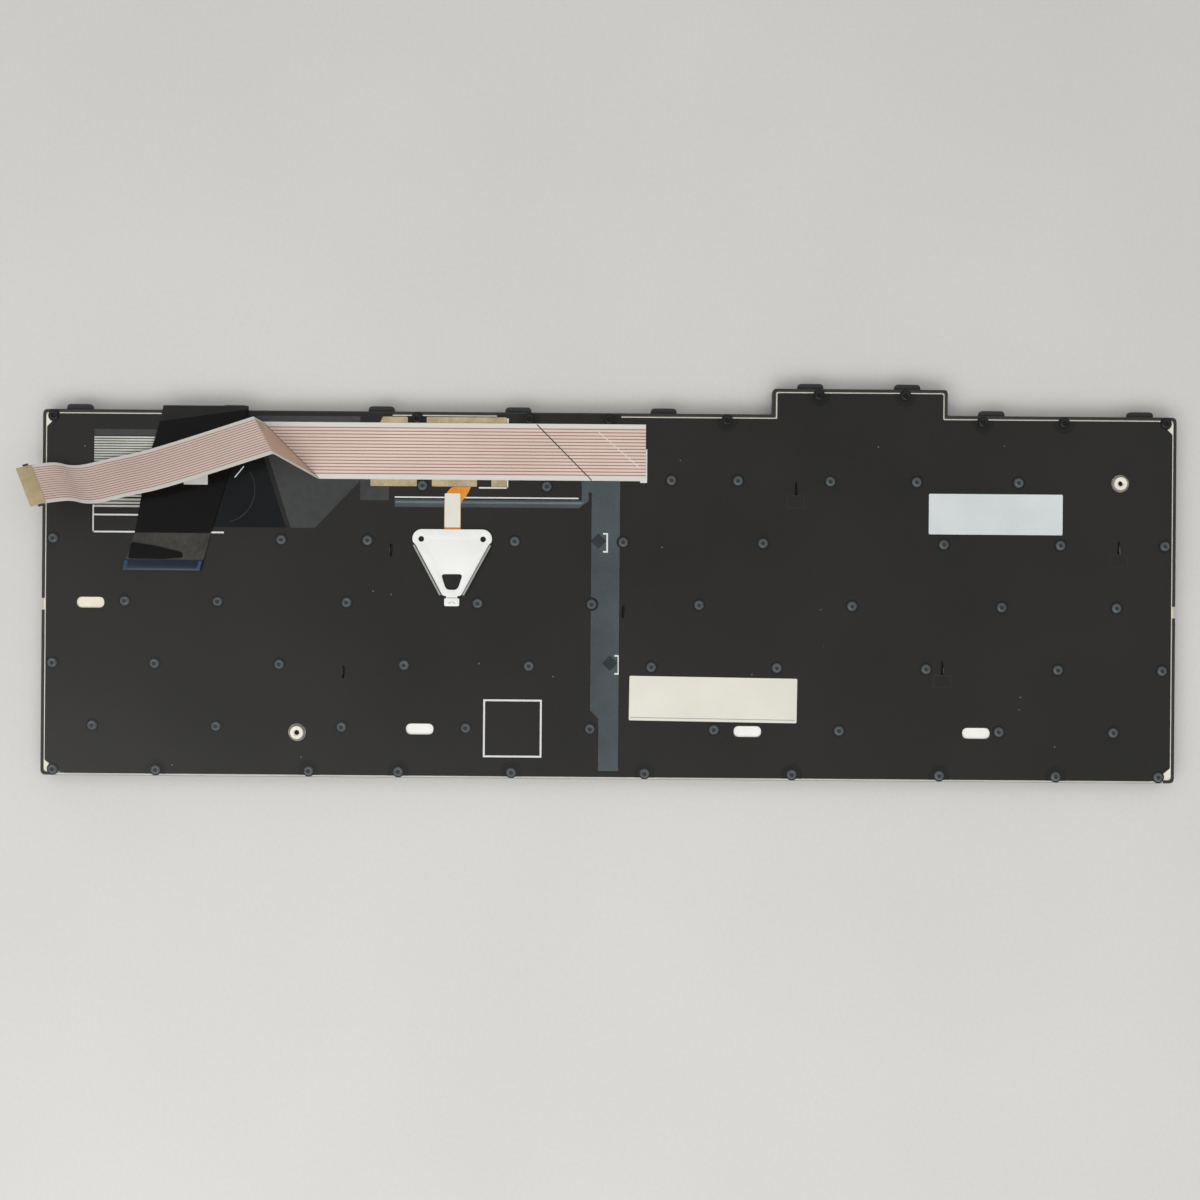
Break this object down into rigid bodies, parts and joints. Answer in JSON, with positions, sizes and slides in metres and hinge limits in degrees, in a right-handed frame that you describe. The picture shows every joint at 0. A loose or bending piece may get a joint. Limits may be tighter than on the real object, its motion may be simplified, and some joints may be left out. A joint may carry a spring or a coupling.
{
  "type": "laptop keyboard",
  "caption": "Replacement laptop keyboard with number pad and pointing stick, lying keys down, its back film, screw inserts, flat matrix cable and folded backlight flex in view.",
  "frame": {"origin": "centre of the keyboard's outline, without the loose cable, on the plane of the key tops", "axes": "+X towards the number pad, +Y towards the front edge with the space bar, +Z out of the back"},
  "size_m": [0.3533, 0.1216, 0.0194],
  "materials": {
    "frame_black": "moulded, matt",
    "key_black": "painted, matt",
    "plate_steel": "stamped, passivated",
    "clear_film": "clear film",
    "light_guide": "clear sheet",
    "black_film": "satin film",
    "blue_grey_film": "flexible circuit",
    "insert_metal": "nickel plated",
    "bracket_steel": "bright",
    "sensor_grey": "ceramic",
    "stick_red": "textured",
    "orange_film": "flexible circuit",
    "tan_tape": "paper liner",
    "grey_film": "film",
    "label_white": "paper",
    "cable_pink": "laminated film",
    "stiffener_beige": "film",
    "stiffener_blue": "film",
    "dome_rubber": "silicone",
    "link_white": "moulded"
  },
  "bodies": {
    "keyboard": {"backlight_flex": "black_film", "backlight_flex_stiffener": "stiffener_blue", "base_plate": "plate_steel", "bezel_frame": "frame_black", "blank_labels": "label_white", "cover_tape": "grey_film", "function_keys": "key_black", "led_strip": "blue_grey_film", "letter_keys": "key_black", "light_guide": "light_guide", "light_shield_film": "black_film", "matrix_cable": "cable_pink", "matrix_cable_stiffener": "stiffener_beige", "rubber_domes": "dome_rubber", "scissor_links": "link_white", "stake_heads": "frame_black", "stick_bracket": "bracket_steel", "stick_cap": "stick_red", "stick_flex": "orange_film", "stick_sensor": "sensor_grey", "switch_membrane": "clear_film", "tape_pad": "tan_tape", "threaded_inserts": "insert_metal"},
    "backspace": {"backspace": "key_black"},
    "tab": {"tab": "key_black"},
    "enter_key": {"enter_key": "key_black"},
    "caps_lock": {"caps_lock": "key_black"},
    "left_shift": {"left_shift": "key_black"},
    "right_shift": {"right_shift": "key_black"},
    "fn": {"fn": "key_black"},
    "left_ctrl": {"left_ctrl": "key_black"},
    "super": {"super": "key_black"},
    "left_alt": {"left_alt": "key_black"},
    "space_bar": {"space_bar": "key_black"},
    "alt_gr": {"alt_gr": "key_black"},
    "print_screen": {"print_screen": "key_black"},
    "right_ctrl": {"right_ctrl": "key_black"},
    "page_up": {"page_up": "key_black"},
    "up_arrow": {"up_arrow": "key_black"},
    "page_down": {"page_down": "key_black"},
    "left_arrow": {"left_arrow": "key_black"},
    "down_arrow": {"down_arrow": "key_black"},
    "right_arrow": {"right_arrow": "key_black"},
    "num_lock": {"num_lock": "key_black"},
    "pad_divide": {"pad_divide": "key_black"},
    "pad_multiply": {"pad_multiply": "key_black"},
    "pad_minus": {"pad_minus": "key_black"},
    "pad_7": {"pad_7": "key_black"},
    "pad_8": {"pad_8": "key_black"},
    "pad_9": {"pad_9": "key_black"},
    "pad_plus": {"pad_plus": "key_black"},
    "pad_4": {"pad_4": "key_black"},
    "pad_5": {"pad_5": "key_black"},
    "pad_6": {"pad_6": "key_black"},
    "pad_1": {"pad_1": "key_black"},
    "pad_2": {"pad_2": "key_black"},
    "pad_3": {"pad_3": "key_black"},
    "pad_enter": {"pad_enter": "key_black"},
    "pad_0": {"pad_0": "key_black"},
    "pad_point": {"pad_point": "key_black"}
  },
  "joints": [
    {"name": "backspace_travel", "type": "slide", "parent": "keyboard", "child": "backspace", "axis": [0, 0, 1], "range_m": [0, 0.0015], "stiffness_N_per_m": 250, "springref_m": -0.001, "deforming": ["rubber_domes", "scissor_links"]},
    {"name": "tab_travel", "type": "slide", "parent": "keyboard", "child": "tab", "axis": [0, 0, 1], "range_m": [0, 0.0015], "stiffness_N_per_m": 250, "springref_m": -0.001, "deforming": ["rubber_domes", "scissor_links"]},
    {"name": "enter_key_travel", "type": "slide", "parent": "keyboard", "child": "enter_key", "axis": [0, 0, 1], "range_m": [0, 0.0015], "stiffness_N_per_m": 250, "springref_m": -0.001, "deforming": ["rubber_domes", "scissor_links"]},
    {"name": "caps_lock_travel", "type": "slide", "parent": "keyboard", "child": "caps_lock", "axis": [0, 0, 1], "range_m": [0, 0.0015], "stiffness_N_per_m": 250, "springref_m": -0.001, "deforming": ["rubber_domes", "scissor_links"]},
    {"name": "left_shift_travel", "type": "slide", "parent": "keyboard", "child": "left_shift", "axis": [0, 0, 1], "range_m": [0, 0.0015], "stiffness_N_per_m": 250, "springref_m": -0.001, "deforming": ["rubber_domes", "scissor_links"]},
    {"name": "right_shift_travel", "type": "slide", "parent": "keyboard", "child": "right_shift", "axis": [0, 0, 1], "range_m": [0, 0.0015], "stiffness_N_per_m": 250, "springref_m": -0.001, "deforming": ["rubber_domes", "scissor_links"]},
    {"name": "fn_travel", "type": "slide", "parent": "keyboard", "child": "fn", "axis": [0, 0, 1], "range_m": [0, 0.0015], "stiffness_N_per_m": 250, "springref_m": -0.001, "deforming": ["rubber_domes", "scissor_links"]},
    {"name": "left_ctrl_travel", "type": "slide", "parent": "keyboard", "child": "left_ctrl", "axis": [0, 0, 1], "range_m": [0, 0.0015], "stiffness_N_per_m": 250, "springref_m": -0.001, "deforming": ["rubber_domes", "scissor_links"]},
    {"name": "super_travel", "type": "slide", "parent": "keyboard", "child": "super", "axis": [0, 0, 1], "range_m": [0, 0.0015], "stiffness_N_per_m": 250, "springref_m": -0.001, "deforming": ["rubber_domes", "scissor_links"]},
    {"name": "left_alt_travel", "type": "slide", "parent": "keyboard", "child": "left_alt", "axis": [0, 0, 1], "range_m": [0, 0.0015], "stiffness_N_per_m": 250, "springref_m": -0.001, "deforming": ["rubber_domes", "scissor_links"]},
    {"name": "space_bar_travel", "type": "slide", "parent": "keyboard", "child": "space_bar", "axis": [0, 0, 1], "range_m": [0, 0.0015], "stiffness_N_per_m": 250, "springref_m": -0.001, "deforming": ["rubber_domes", "scissor_links"]},
    {"name": "alt_gr_travel", "type": "slide", "parent": "keyboard", "child": "alt_gr", "axis": [0, 0, 1], "range_m": [0, 0.0015], "stiffness_N_per_m": 250, "springref_m": -0.001, "deforming": ["rubber_domes", "scissor_links"]},
    {"name": "print_screen_travel", "type": "slide", "parent": "keyboard", "child": "print_screen", "axis": [0, 0, 1], "range_m": [0, 0.0015], "stiffness_N_per_m": 250, "springref_m": -0.001, "deforming": ["rubber_domes", "scissor_links"]},
    {"name": "right_ctrl_travel", "type": "slide", "parent": "keyboard", "child": "right_ctrl", "axis": [0, 0, 1], "range_m": [0, 0.0015], "stiffness_N_per_m": 250, "springref_m": -0.001, "deforming": ["rubber_domes", "scissor_links"]},
    {"name": "page_up_travel", "type": "slide", "parent": "keyboard", "child": "page_up", "axis": [0, 0, 1], "range_m": [0, 0.0015], "stiffness_N_per_m": 250, "springref_m": -0.001, "deforming": ["rubber_domes", "scissor_links"]},
    {"name": "up_arrow_travel", "type": "slide", "parent": "keyboard", "child": "up_arrow", "axis": [0, 0, 1], "range_m": [0, 0.0015], "stiffness_N_per_m": 250, "springref_m": -0.001, "deforming": ["rubber_domes", "scissor_links"]},
    {"name": "page_down_travel", "type": "slide", "parent": "keyboard", "child": "page_down", "axis": [0, 0, 1], "range_m": [0, 0.0015], "stiffness_N_per_m": 250, "springref_m": -0.001, "deforming": ["rubber_domes", "scissor_links"]},
    {"name": "left_arrow_travel", "type": "slide", "parent": "keyboard", "child": "left_arrow", "axis": [0, 0, 1], "range_m": [0, 0.0015], "stiffness_N_per_m": 250, "springref_m": -0.001, "deforming": ["rubber_domes", "scissor_links"]},
    {"name": "down_arrow_travel", "type": "slide", "parent": "keyboard", "child": "down_arrow", "axis": [0, 0, 1], "range_m": [0, 0.0015], "stiffness_N_per_m": 250, "springref_m": -0.001, "deforming": ["rubber_domes", "scissor_links"]},
    {"name": "right_arrow_travel", "type": "slide", "parent": "keyboard", "child": "right_arrow", "axis": [0, 0, 1], "range_m": [0, 0.0015], "stiffness_N_per_m": 250, "springref_m": -0.001, "deforming": ["rubber_domes", "scissor_links"]},
    {"name": "num_lock_travel", "type": "slide", "parent": "keyboard", "child": "num_lock", "axis": [0, 0, 1], "range_m": [0, 0.0015], "stiffness_N_per_m": 250, "springref_m": -0.001, "deforming": ["rubber_domes", "scissor_links"]},
    {"name": "pad_divide_travel", "type": "slide", "parent": "keyboard", "child": "pad_divide", "axis": [0, 0, 1], "range_m": [0, 0.0015], "stiffness_N_per_m": 250, "springref_m": -0.001, "deforming": ["rubber_domes", "scissor_links"]},
    {"name": "pad_multiply_travel", "type": "slide", "parent": "keyboard", "child": "pad_multiply", "axis": [0, 0, 1], "range_m": [0, 0.0015], "stiffness_N_per_m": 250, "springref_m": -0.001, "deforming": ["rubber_domes", "scissor_links"]},
    {"name": "pad_minus_travel", "type": "slide", "parent": "keyboard", "child": "pad_minus", "axis": [0, 0, 1], "range_m": [0, 0.0015], "stiffness_N_per_m": 250, "springref_m": -0.001, "deforming": ["rubber_domes", "scissor_links"]},
    {"name": "pad_7_travel", "type": "slide", "parent": "keyboard", "child": "pad_7", "axis": [0, 0, 1], "range_m": [0, 0.0015], "stiffness_N_per_m": 250, "springref_m": -0.001, "deforming": ["rubber_domes", "scissor_links"]},
    {"name": "pad_8_travel", "type": "slide", "parent": "keyboard", "child": "pad_8", "axis": [0, 0, 1], "range_m": [0, 0.0015], "stiffness_N_per_m": 250, "springref_m": -0.001, "deforming": ["rubber_domes", "scissor_links"]},
    {"name": "pad_9_travel", "type": "slide", "parent": "keyboard", "child": "pad_9", "axis": [0, 0, 1], "range_m": [0, 0.0015], "stiffness_N_per_m": 250, "springref_m": -0.001, "deforming": ["rubber_domes", "scissor_links"]},
    {"name": "pad_plus_travel", "type": "slide", "parent": "keyboard", "child": "pad_plus", "axis": [0, 0, 1], "range_m": [0, 0.0015], "stiffness_N_per_m": 250, "springref_m": -0.001, "deforming": ["rubber_domes", "scissor_links"]},
    {"name": "pad_4_travel", "type": "slide", "parent": "keyboard", "child": "pad_4", "axis": [0, 0, 1], "range_m": [0, 0.0015], "stiffness_N_per_m": 250, "springref_m": -0.001, "deforming": ["rubber_domes", "scissor_links"]},
    {"name": "pad_5_travel", "type": "slide", "parent": "keyboard", "child": "pad_5", "axis": [0, 0, 1], "range_m": [0, 0.0015], "stiffness_N_per_m": 250, "springref_m": -0.001, "deforming": ["rubber_domes", "scissor_links"]},
    {"name": "pad_6_travel", "type": "slide", "parent": "keyboard", "child": "pad_6", "axis": [0, 0, 1], "range_m": [0, 0.0015], "stiffness_N_per_m": 250, "springref_m": -0.001, "deforming": ["rubber_domes", "scissor_links"]},
    {"name": "pad_1_travel", "type": "slide", "parent": "keyboard", "child": "pad_1", "axis": [0, 0, 1], "range_m": [0, 0.0015], "stiffness_N_per_m": 250, "springref_m": -0.001, "deforming": ["rubber_domes", "scissor_links"]},
    {"name": "pad_2_travel", "type": "slide", "parent": "keyboard", "child": "pad_2", "axis": [0, 0, 1], "range_m": [0, 0.0015], "stiffness_N_per_m": 250, "springref_m": -0.001, "deforming": ["rubber_domes", "scissor_links"]},
    {"name": "pad_3_travel", "type": "slide", "parent": "keyboard", "child": "pad_3", "axis": [0, 0, 1], "range_m": [0, 0.0015], "stiffness_N_per_m": 250, "springref_m": -0.001, "deforming": ["rubber_domes", "scissor_links"]},
    {"name": "pad_enter_travel", "type": "slide", "parent": "keyboard", "child": "pad_enter", "axis": [0, 0, 1], "range_m": [0, 0.0015], "stiffness_N_per_m": 250, "springref_m": -0.001, "deforming": ["rubber_domes", "scissor_links"]},
    {"name": "pad_0_travel", "type": "slide", "parent": "keyboard", "child": "pad_0", "axis": [0, 0, 1], "range_m": [0, 0.0015], "stiffness_N_per_m": 250, "springref_m": -0.001, "deforming": ["rubber_domes", "scissor_links"]},
    {"name": "pad_point_travel", "type": "slide", "parent": "keyboard", "child": "pad_point", "axis": [0, 0, 1], "range_m": [0, 0.0015], "stiffness_N_per_m": 250, "springref_m": -0.001, "deforming": ["rubber_domes", "scissor_links"]}
  ]
}
